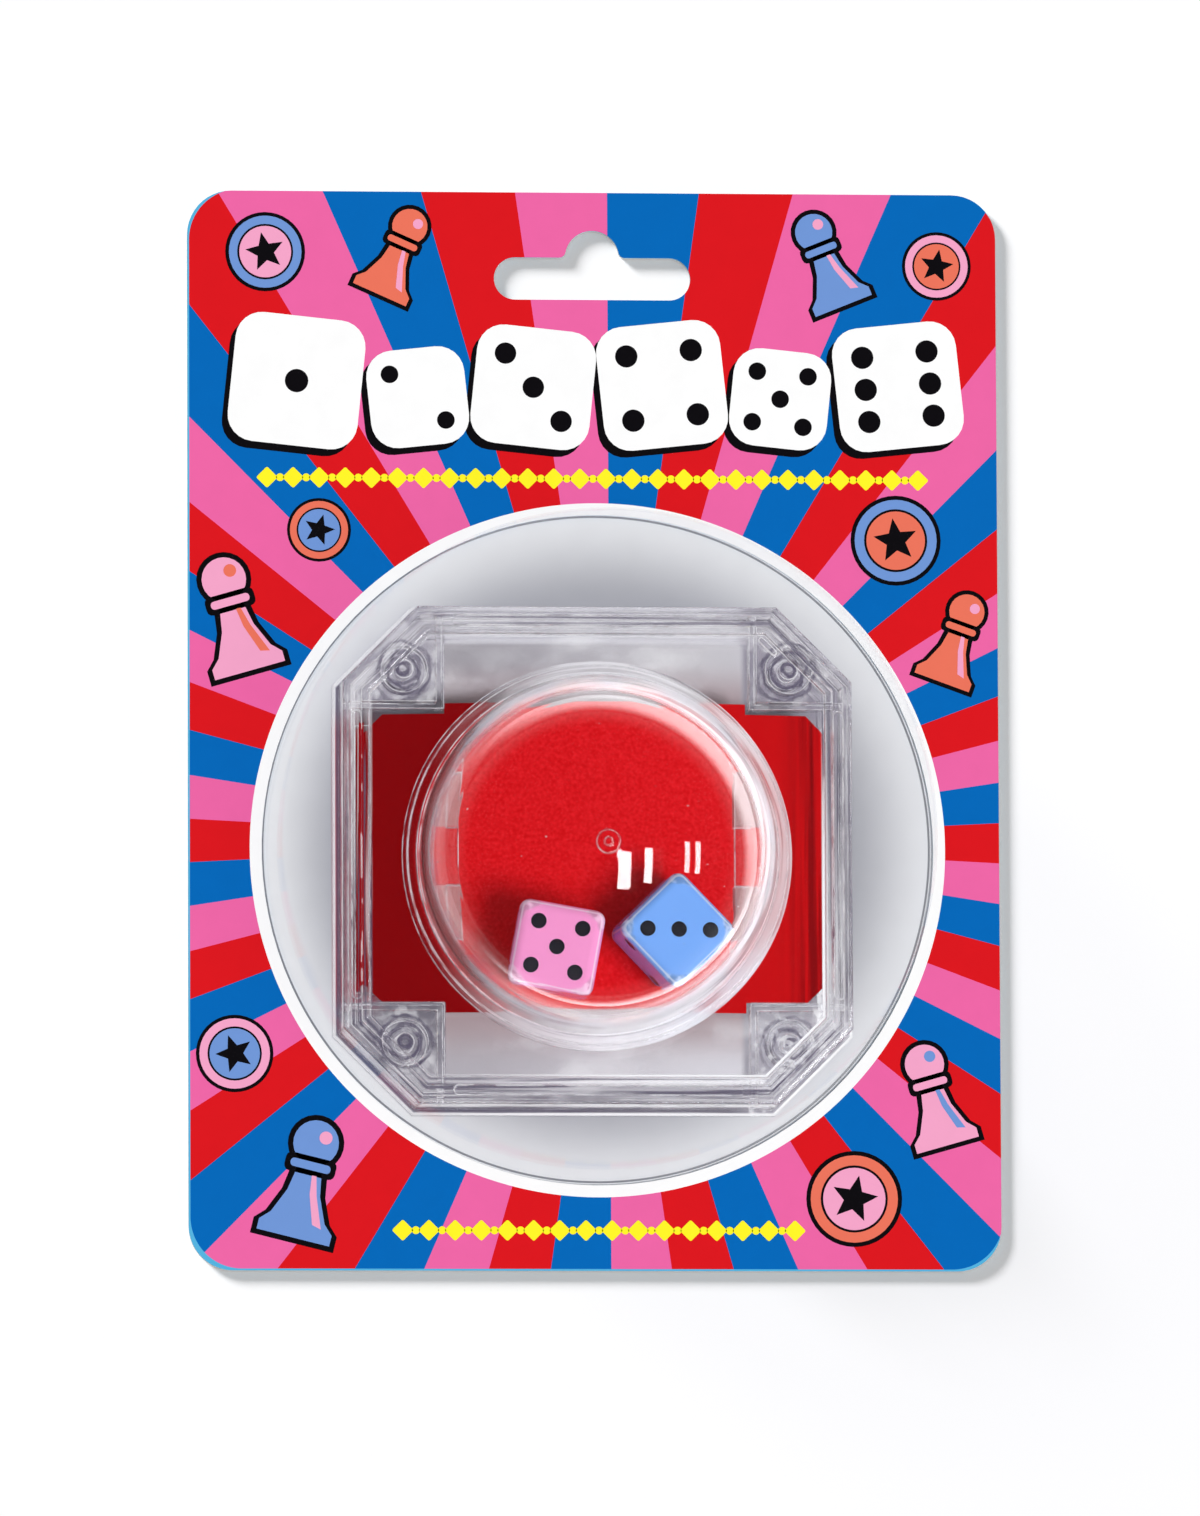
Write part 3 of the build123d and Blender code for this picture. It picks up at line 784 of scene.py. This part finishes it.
def dome_material():
    """Clear moulded dome: painted highlight and shade along the edges, feet painted a greyish
    shade, a flange with streaks of painted highlight and a painted glare below, small pale marks at
    the crown, and a soft gloss at the foot of the wall, least to the left."""
    made, recipe = material("dome_clear")
    point = recipe.millimetres()
    rounded_edge = recipe.rounded_normal(EDGE_ROUND)
    offsets = popper_offsets(recipe, point)
    side, across, away = offsets["side"], offsets["across"], offsets["y"]
    radius = offsets["radius"]

    layer = edge_layer(recipe, point, rounded_edge)
    # Painted shade on the feet.
    feet = recipe.times(recipe.within(offsets, *FEET), recipe.linear(side, FOOT_RISE, FOOT_SHADE_SHARE))
    layer = overlay(recipe, layer, feet, FOOT_SHADE)

    turn = recipe.math("ARCTAN2", across, side)
    round_rim = {"X": recipe.times(radius, 0.9), "Y": recipe.times(turn, 1.2)}
    streak = recipe.noise(recipe.add("ShaderNodeCombineXYZ", round_rim), 1.0, detail=2.0)
    streak = recipe.ramp(streak, *DOME_STREAK)

    weight = recipe.linear(side, WALL_RISE, WALL_MIDDLE)
    weight = recipe.linear(away, WALL_END, weight)
    fade = recipe.within(offsets, WALL_LEFT_FADE)
    fade = recipe.linear(fade, 1.0 - WALL_LEFT_GLOSS, WALL_LEFT_GLOSS)
    grazing = recipe.ramp(recipe.facing(), *WALL_GRAZING)
    wall = recipe.times(recipe.within(offsets, *WALL_FOOT), grazing, WALL_GLOSS)
    wall = recipe.times(wall, recipe.linear(streak, 0.6, 0.4), weight, fade)
    gloss = recipe.math("MINIMUM", wall, WALL_GLOSS)

    # Painted highlight streaks on the flange.
    ends = recipe.times(recipe.within(offsets, *FLANGE_ENDS), FLANGE_END_HIGHLIGHT)
    painted_layer = recipe.linear(recipe.within(offsets, FLANGE_RIGHT), FLANGE_RIGHT_HIGHLIGHT, ends)
    flange = recipe.times(recipe.within(offsets, *FLANGE), painted_layer, recipe.linear(streak, 0.65, 0.25))
    layer = overlay(recipe, layer, recipe.math("MINIMUM", flange, FLANGE_MOST), EDGE_LIGHT)

    # Painted glare at the lower side.
    toward = recipe.linear(side, GLARE_WAY[0], recipe.times(across, GLARE_WAY[1]))
    offsets["toward"] = recipe.math("DIVIDE", toward, radius)
    glare = recipe.times(recipe.within(offsets, *GLARE), recipe.linear(streak, 0.3, 0.65))
    layer = overlay(recipe, layer, glare, EDGE_LIGHT)

    marks = recipe.noise(recipe.vector("MULTIPLY", point, (0.5, 1.1, 0.5)), 0.9, detail=1.0)
    marks = recipe.times(recipe.ramp(marks, *MARKS), recipe.within(offsets, CROWN), MARK_SHARE)
    layer = overlay(recipe, layer, marks, EDGE_LIGHT)

    normal = recipe.bump(recipe.noise(point, 0.10, detail=1.0), 0.000004, normal=rounded_edge)
    recipe.finish(clear_shader(recipe, DOME_CLEAR, normal, layer, gloss))
    return made


def blister_material():
    """Thin clear sheet, seen mostly by its gloss at grazing angles."""
    made, recipe = material("blister_clear")
    through = recipe.add("ShaderNodeBsdfTransparent", {"Color": BLISTER_CLEAR})
    gloss = {"Color": LAMP_WHITE, "Roughness": BLISTER_ROUGHNESS}
    gloss = recipe.add("ShaderNodeBsdfGlossy", gloss)
    steep = recipe.math("POWER", recipe.facing(), 6.0)
    lit = recipe.math("SUBTRACT", 1.0, recipe.light_path()["Is Shadow Ray"])
    share = recipe.times(recipe.linear(steep, BLISTER_GLOSS, BLISTER_LEAST), lit)
    recipe.finish(recipe.mix_shader(share, through, gloss))
    return made


# ---- Sheet, leaf and dice ----
def sheet_material():
    """Red plastic film with painted shade: darker on the two wings outside the dome, and dark
    streaks of painted shade near its right end.
    """
    made, recipe = material("red_sheet")
    point = recipe.millimetres()
    offsets = popper_offsets(recipe, point)
    streak = recipe.noise(recipe.vector("MULTIPLY", point, (1.0, 0.02, 1.0)), 0.9, detail=3.0)
    speck = recipe.noise(point, 1.6, detail=5.0, roughness=0.7)
    colour = recipe.mix(recipe.ramp(speck, *SPECK), *SHEET_REDS)
    # Painted shade on the wings.
    for end, red in zip((WING_LEFT, WING_RIGHT), WING_SHADE_REDS):
        colour = recipe.mix(recipe.within(offsets, WING, end), colour, red)
    # Dark streaks of painted shade near the right end.
    sheet_shade = recipe.times(recipe.within(offsets, SHEET_SHADE_PLACE), recipe.ramp(streak, *SHEET_SHADE_STRIPES))
    shader = recipe.surface(
        Base_Color=recipe.mix(sheet_shade, colour, SHEET_SHADE_RED),
        Roughness=recipe.spread(speck, 0.28, 0.42),
        Specular_IOR_Level=0.08,
        Normal=recipe.bump(speck, 0.00004, 0.5),
    )
    recipe.finish(shader)
    return made


def steel_material():
    """Brushed spring steel."""
    made, recipe = material("spring_steel")
    stretched = recipe.vector("MULTIPLY", recipe.millimetres(), (0.05, 3.0, 1.0))
    brushed = recipe.noise(stretched, 2.0, detail=4.0)
    shader = recipe.surface(
        Base_Color=recipe.mix(brushed, *STEEL),
        Metallic=1.0,
        Roughness=recipe.spread(brushed, 0.25, 0.45),
    )
    recipe.finish(shader)
    return made


def die_axes(node):
    """Centre and the three face directions of a die, from its largest flat faces."""
    mesh = nodes[node].data
    normals = np.array([p.normal for p in mesh.polygons])
    areas = np.array([p.area for p in mesh.polygons])

    def widest(chosen):
        return Vector(normals[chosen][areas[chosen].argmax()]).normalized()

    top = widest(normals[:, 2] > 0.9)
    front = widest(np.abs(normals @ np.array(top)) < 0.05)
    low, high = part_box(node)
    return (low + high) / 2, (top, front, top.cross(front))


def die_material(node):
    """Glossy acrylic die: full colour on the faces, a pale line of painted highlight along the
    rounded edges, and corners in a random mix of pale painted highlight and a greyer tone."""
    made, recipe = material(node)
    colour, edge, shade = DIE_COLOURS[node]
    centre, axes = die_axes(node)
    point = recipe.millimetres()
    offset = recipe.vector("SUBTRACT", point, tuple(centre / MM))
    most = None
    for axis in axes:
        along = recipe.vector("DOT_PRODUCT", offset, tuple(axis), output="Value")
        along = recipe.math("ABSOLUTE", along)
        most = along if most is None else recipe.math("MAXIMUM", most, along)
    length = recipe.vector("LENGTH", offset, output="Value")
    length, depth = (recipe.math("POWER", value, 2.0) for value in (length, most))
    reach = recipe.math("SQRT", recipe.positive(recipe.math("SUBTRACT", length, depth)))
    blotch = recipe.noise(point, 0.5, detail=4.0)
    reach = recipe.math("ADD", reach, recipe.times(recipe.math("SUBTRACT", blotch, 0.5), DIE_WOBBLE))
    corner_mix = recipe.ramp(recipe.noise(point, 0.35, detail=2.0), *DIE_CORNER_MIX)
    corner = recipe.times(recipe.ramp(reach, *DIE_CORNER), DIE_CORNER_SHARE)
    colour = recipe.mix(corner, colour, recipe.mix(corner_mix, shade, edge))
    line = recipe.times(recipe.ramp(most, *DIE_LINE), DIE_LINE_SHARE)
    shader = recipe.surface(
        Base_Color=recipe.mix(line, colour, edge),
        Roughness=recipe.spread(blotch, 0.10, 0.20),
        Specular_IOR_Level=0.5,
        Coat_Weight=0.3,
        Coat_Roughness=0.05,
    )
    recipe.finish(shader)
    return made


def pip_material():
    made, recipe = material("pip_ink")
    speck = recipe.noise(recipe.millimetres(), 4.0)
    shader = recipe.surface(
        Base_Color=recipe.mix(speck, *PIP_INK), Roughness=recipe.spread(speck, 0.3, 0.5)
    )
    recipe.finish(shader)
    return made


# ---- Outlines for the printed motifs: counter-clockwise (x, y) points ----
def rounded(points, radius, steps=6):
    """Polygon with each corner rounded by an arc."""
    made = []
    count = len(points)
    for index, corner in enumerate(points):
        corner = Vector(corner)
        before = (Vector(points[index - 1]) - corner).normalized()
        after = (Vector(points[(index + 1) % count]) - corner).normalized()
        half = before.angle(after) / 2
        bisector = (before + after).normalized()
        centre = corner + bisector * (radius / math.sin(half))
        start = corner + before * (radius / math.tan(half)) - centre
        sweep = math.pi - 2 * half
        for step in range(steps + 1):
            angle = sweep * step / steps
            made.append(centre + start @ Matrix.Rotation(-angle, 2))
    return made


def placed(points, centre, turn=0.0):
    """Points turned by some degrees about the origin and moved to centre."""
    spin = Matrix.Rotation(math.radians(turn), 2)
    return [spin @ Vector(point) + Vector(centre) for point in points]


def disc(centre, radius, steps=24):
    angles = [2 * math.pi * step / steps for step in range(steps)]
    return [Vector(centre) + Vector((math.cos(a), math.sin(a))) * radius for a in angles]


def box(half, low, high):
    """Rectangle as wide as twice half, from low to high."""
    return [(-half, low), (half, low), (half, high), (-half, high)]


def square(size):
    return box(size / 2, -size / 2, size / 2)


def print_piece(name, layers):
    """One flat printed piece from (outline, layer number, material) entries. Each layer of ink is a
    few hundredths of a millimetre high."""
    materials = []
    bm = bmesh.new()
    for outline, layer, made in layers:
        if made not in materials:
            materials.append(made)
        low, high = card_top * MM, (card_top + layer * INK) * MM
        base = [bm.verts.new((x * MM, y * MM, low)) for x, y in outline]
        face = [bm.verts.new((x * MM, y * MM, high)) for x, y in outline]
        faces = [bm.faces.new(face), bm.faces.new(base[::-1])]
        for index in range(len(outline)):
            after = (index + 1) % len(outline)
            faces.append(bm.faces.new((base[index], base[after], face[after], face[index])))
        for made_face in faces:
            made_face.material_index = materials.index(made)
    mesh = bpy.data.meshes.new(name)
    bm.to_mesh(mesh)
    bm.free()
    obj = add_object(name, mesh)
    for made in materials:
        mesh.materials.append(made)
    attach(obj, "pack")


def print_title(white, black):
    """Row of white dice faces, one to six, tilted in turn, each with a black shadow."""
    layers = []
    left = TITLE_LEFT
    for index, size in enumerate(TITLE_SIZES):
        tilt = TITLE_TILT * (1 if index % 2 else -1)
        centre = (left + size / 2 + TITLE_SHIFT, TITLE_BASE + size / 2)
        shadow = (centre[0] + TITLE_SHADOW[0], centre[1] + TITLE_SHADOW[1])
        outline = rounded(square(size), TITLE_CORNER)
        layers.append((placed(outline, shadow, tilt), 1, black))
        layers.append((placed(outline, centre, tilt), 2, white))
        for x, y in PIPS[index + 1]:
            spot = placed([(x * size * PIP_STEP, y * size * PIP_STEP)], centre, tilt)[0]
            layers.append((disc(spot, size * PIP_RADIUS), 3, black))
        left += size + TITLE_GAP
    print_piece("print_title", layers)


def print_row(name, centre, count, made):
    """Row of small diamonds with dots between them."""
    layers = []
    for index in range(2 * count - 1):
        spot = (centre[0] + (index - count + 1) * ROW_PITCH / 2, centre[1])
        if index % 2:
            outline = disc(spot, ROW_DOT, DOT_STEPS)
        else:
            outline = placed(rounded(square(ROW_DIAMOND), ROW_CORNER, 3), spot, 45)
        layers.append((outline, 1, made))
    print_piece(name, layers)


def lined(x, y):
    """A corner of the pawn's body moved out by its black line."""
    lift = PAWN_LINE if y > 0 else -PAWN_LINE if y < PAWN_SOLE else 0
    return x + math.copysign(PAWN_LINE, x), y + lift


def print_pawn(name, centre, size, turn, colour, light, black):
    """Drawn game pawn: round head, collar and flared body with black lines, and a pale stripe."""
    body = PAWN_SIDE + [(-x, y) for x, y in reversed(PAWN_SIDE)]
    half, low, high = PAWN_COLLAR
    wide = box(half + PAWN_LINE, low - PAWN_LINE, high + PAWN_LINE)
    head, head_radius = PAWN_HEAD
    shapes = (
        ([lined(x, y) for x, y in body], 1, black),
        (disc(head, head_radius + PAWN_LINE), 1, black),
        (rounded(wide, PAWN_LINE_CORNER, 3), 2, black),
        (body, 2, colour),
        (disc(head, head_radius), 2, colour),
        (rounded(box(*PAWN_COLLAR), PAWN_COLLAR_CORNER, 3), 3, colour),
        (PAWN_STRIPE, 3, light),
        (disc(*PAWN_GLINT, DOT_STEPS), 3, light),
    )
    layers = []
    for outline, layer, made in shapes:
        scaled = [(x * size, y * size) for x, y in outline]
        layers.append((placed(scaled, centre, turn), layer, made))
    print_piece(name, layers)


def print_counter(name, centre, size, turn, colour, light, black):
    """Drawn round counter: rings of two colours with black lines, and a five-pointed star."""
    layers = []
    for index, (radius, made) in enumerate(zip(COUNTER_RADII, (black, colour, black, light))):
        layers.append((disc(centre, size * radius, COUNTER_STEPS), index + 1, made))
    star = []
    for step in range(10):
        angle = math.radians(90 + 36 * step)
        reach = size * STAR_RADII[step % 2]
        star.append((math.cos(angle) * reach, math.sin(angle) * reach))
    layers.append((placed(star, centre, turn), 5, black))
    print_piece(name, layers)


# ---- Leaf and cover sheet as bowed strips, which in the real popper flatten when the dome is pressed ----
def copy_node(name, node, made):
    """The CAD strip as a piece of its own on the pack, in place of its hidden node."""
    mesh = nodes[node].data.copy()
    mesh.name = name
    obj = add_object(name, mesh)
    dress(obj, made)
    smooth(obj)
    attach(obj, "pack")
    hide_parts(node)
    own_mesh(obj)


# ---- Dress the CAD nodes ----
case_clear = case_material()
pip_ink = pip_material()
node_materials = {
    "front_card": card_front_material(),
    "back_card": card_back_material(),
    "blister": blister_material(),
    "base_tray": case_clear,
    "cover": case_clear,
    "dome": dome_material(),
    "die_pink": die_material("die_pink"),
    "die_blue": die_material("die_blue"),
    "die_pink_pips": pip_ink,
    "die_blue_pips": pip_ink,
}
for name, made in node_materials.items():
    dress(nodes[name], made)
for name in ("blister", "base_tray", "cover", "dome", "die_pink", "die_blue"):
    smooth(nodes[name])
for name in ("back_card", "base_tray"):
    draw_in(nodes[name])

copy_node("red_sheet", "cover_sheet", sheet_material())
copy_node("steel_leaf", "spring_leaf", steel_material())

# ---- Printed motifs ----
inks = {
    name: ink_material(f"ink_{name}", colour)
    for name, colour in (
        ("white", WHITE),
        ("black", BLACK),
        ("yellow", YELLOW),
        ("pink", SOFT_PINK),
        ("blue", SOFT_BLUE),
        ("orange", ORANGE),
    )
}
print_title(inks["white"], inks["black"])
print_row("print_row_top", (0.0, 47.4), 26, inks["yellow"])
print_row("print_row_bottom", (0.6, -94.0), 16, inks["yellow"])
# Kind, centre, size, turn in degrees, colour and second colour of each motif.
drawn_motifs = (
    (print_counter, (-61.5, 90.0), 15.0, 12, "blue", "pink"),
    (print_pawn, (-36.5, 90.0), 17.5, -24, "orange", "pink"),
    (print_pawn, (44.0, 89.0), 18.5, 22, "blue", "pink"),
    (print_counter, (65.0, 88.0), 13.0, -10, "pink", "orange"),
    (print_pawn, (-67.5, 21.5), 22.0, 16, "pink", "orange"),
    (print_counter, (-51.5, 37.5), 12.0, -16, "orange", "blue"),
    (print_counter, (57.0, 36.0), 17.0, 8, "blue", "orange"),
    (print_pawn, (68.5, 17.5), 17.5, -20, "orange", "pink"),
    (print_counter, (-67.5, -61.0), 14.5, 20, "pink", "blue"),
    (print_pawn, (-54.0, -84.5), 22.5, -14, "blue", "pink"),
    (print_pawn, (63.5, -68.5), 19.5, 16, "pink", "blue"),
    (print_counter, (48.5, -88.0), 18.0, -12, "orange", "pink"),
)
for index, (draw, centre, size, turn, colour, light) in enumerate(drawn_motifs):
    name = f"print_motif_{index + 1}"
    draw(name, centre, size, turn, inks[colour], inks[light], inks["black"])


# ---- Floor, light and camera ----
def make_floor():
    """Pale floor. The camera, gloss and clear plastic see it a little brighter than plain light."""
    bpy.ops.mesh.primitive_plane_add(size=FLOOR_SIZE)
    floor = bpy.context.object
    floor.name = "floor"
    floor.location.z = -FLOOR_DROP
    made, recipe = material("floor")
    path = recipe.light_path()
    seen = recipe.math("ADD", path["Is Camera Ray"], path["Is Glossy Ray"])
    seen = recipe.math("ADD", seen, path["Is Transmission Ray"], clamp=True)
    glow = recipe.glow(recipe.times(seen, FLOOR_GLOW))
    diffuse = recipe.add("ShaderNodeBsdfDiffuse", {"Color": FLOOR_COLOUR})
    recipe.finish(recipe.add("ShaderNodeAddShader", {0: diffuse, 1: glow}))
    dress(floor, made)
    floor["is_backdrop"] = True
    return floor


def make_world():
    """White for the camera, plain grey light on the object, and for gloss and clear plastic a sky
    that is white low down and dark overhead."""
    world = bpy.data.worlds.new("studio")
    bpy.context.scene.world = world
    world.use_nodes = True
    recipe = Recipe(world.node_tree)
    path = recipe.light_path()
    height = recipe.split(recipe.add("ShaderNodeTexCoord", output="Generated"))[2]
    studio = recipe.linear(recipe.ramp(height, *SKY_HEIGHTS), CEILING - 1.0, 1.0)
    level = recipe.blend(path["Is Glossy Ray"], AMBIENT, studio)
    level = recipe.blend(path["Is Transmission Ray"], level, studio)
    level = recipe.blend(path["Is Camera Ray"], level, 1.0)
    background = recipe.add("ShaderNodeBackground", {"Color": LAMP_WHITE, "Strength": level})
    recipe.finish(background, "ShaderNodeOutputWorld")


def show_in_gloss(lamp, seen_in):
    """Leaves a bright object only in the gloss of what is in the collection seen_in."""
    lamp.visible_camera = False
    lamp.visible_diffuse = False
    lamp.visible_transmission = False
    lamp.visible_shadow = False
    lamp.light_linking.receiver_collection = seen_in
    lamp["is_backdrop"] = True


def make_strip(name, direction, width, height, strength, seen_in):
    """Bright upright strip in this direction; width and height are angles in radians."""
    bpy.ops.mesh.primitive_plane_add(size=1)
    strip = bpy.context.object
    strip.name = name
    way = Vector(direction).normalized()
    strip.location = dome_crown + way * STUDIO_DISTANCE
    up = (Vector((0, 1, 0)) - way * way.y).normalized()
    turn = Matrix((up.cross(way), up, way)).transposed()
    strip.rotation_mode = "QUATERNION"
    strip.rotation_quaternion = turn.to_quaternion()
    strip.scale = (width * STUDIO_DISTANCE, height * STUDIO_DISTANCE, 1)
    made, recipe = material(name)
    recipe.finish(recipe.glow(strength))
    dress(strip, made)
    show_in_gloss(strip, seen_in)


def make_horizon(seen_in):
    """Bright band round the object, low down, for the gloss of the dome's shoulder: strongest in
    front, weakest to the left, and fading upwards, sooner in front."""
    bpy.ops.mesh.primitive_cylinder_add(
        vertices=HORIZON_SIDES, radius=STUDIO_DISTANCE, depth=1, end_fill_type="NOTHING"
    )
    band = bpy.context.object
    band.name = "horizon"
    band.location = (dome_crown.x, dome_crown.y, (HORIZON_LOW + HORIZON_HIGH) / 2)
    band.scale.z = HORIZON_HIGH - HORIZON_LOW
    made, recipe = material("horizon")
    x, y, z = recipe.split(recipe.add("ShaderNodeTexCoord", output="Object"))
    x, y = (recipe.math("DIVIDE", place, STUDIO_DISTANCE) for place in (x, y))
    front = recipe.positive(recipe.times(y, -1.0))
    strength = recipe.linear(x, HORIZON_RIGHT, HORIZON_LEVEL)
    strength = recipe.linear(front, HORIZON_FRONT, strength)
    strength = recipe.linear(recipe.positive(y), HORIZON_BACK, strength)
    fade = recipe.ramp(recipe.linear(front, HORIZON_TILT, z), HORIZON_TOP, 0.0)
    strength = recipe.times(strength, fade, recipe.ramp(x, *HORIZON_LEFT_FADE))
    recipe.finish(recipe.glow(strength))
    dress(band, made)
    show_in_gloss(band, seen_in)


def collection(name, objects):
    made = bpy.data.collections.new(name)
    for obj in objects:
        made.objects.link(obj)
    return made


def make_sun(name, direction, energy, angle, lit):
    """Soft lamp from far away in this direction, not seen in reflections, that lights what is in
    the collection lit."""
    lamp = bpy.data.lights.new(name, "SUN")
    lamp.energy = energy
    lamp.angle = math.radians(angle)
    sun = add_object(name, lamp)
    sun.rotation_mode = "QUATERNION"
    sun.rotation_quaternion = Vector(direction).to_track_quat("Z", "Y")
    sun.visible_glossy = False
    sun.visible_transmission = False
    sun.light_linking.receiver_collection = lit


def make_camera():
    """Camera before the card, a little to its lower left, so that the high parts show leaning up
    and right."""
    data = bpy.data.cameras.new("camera")
    data.lens = LENS
    data.clip_end = CLIP_END
    camera = add_object("camera", data)
    lean_x, lean_y = math.radians(LEAN_X), math.radians(LEAN_Y)
    away = Vector((-math.sin(lean_x), -math.sin(lean_y), 1)).normalized()
    up = (Vector((0, 1, 0)) - away * away.y).normalized()
    right = (Vector((1, 0, 0)) - away * away.x).normalized()
    right = (right + up.cross(away)).normalized()
    up = away.cross(right)
    turn = Matrix((right, up, away)).transposed().to_4x4()
    distance = FRAME_HEIGHT * MM * LENS / data.sensor_width
    target = Vector((*FRAME_CENTRE, card_top)) * MM
    camera.matrix_world = Matrix.Translation(target + away * distance) @ turn
    bpy.context.scene.camera = camera


floor = make_floor()
make_world()
glossy = collection("glossy", [nodes[name] for name in ("dome", "cover", "base_tray")])
for name, direction, width, height, strength in STRIPS:
    make_strip(name, direction, width, height, strength, glossy)
make_horizon(glossy)
lit_object = collection("lit_object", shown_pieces())
lit_dice = collection("lit_dice", [nodes["die_pink"], nodes["die_blue"]])
make_sun("key", KEY_WAY, KEY_POWER, KEY_ANGLE, collection("lit_floor", [floor]))
make_sun("fill", FILL_WAY, FILL_POWER, FILL_ANGLE, lit_object)
make_sun("fill_dice", FILL_WAY, DICE_POWER, FILL_ANGLE, lit_dice)
make_camera()

scene = bpy.context.scene
scene.view_settings.view_transform = "Standard"
scene.cycles.max_bounces = 20
scene.cycles.transmission_bounces = 16
scene.cycles.transparent_max_bounces = 24
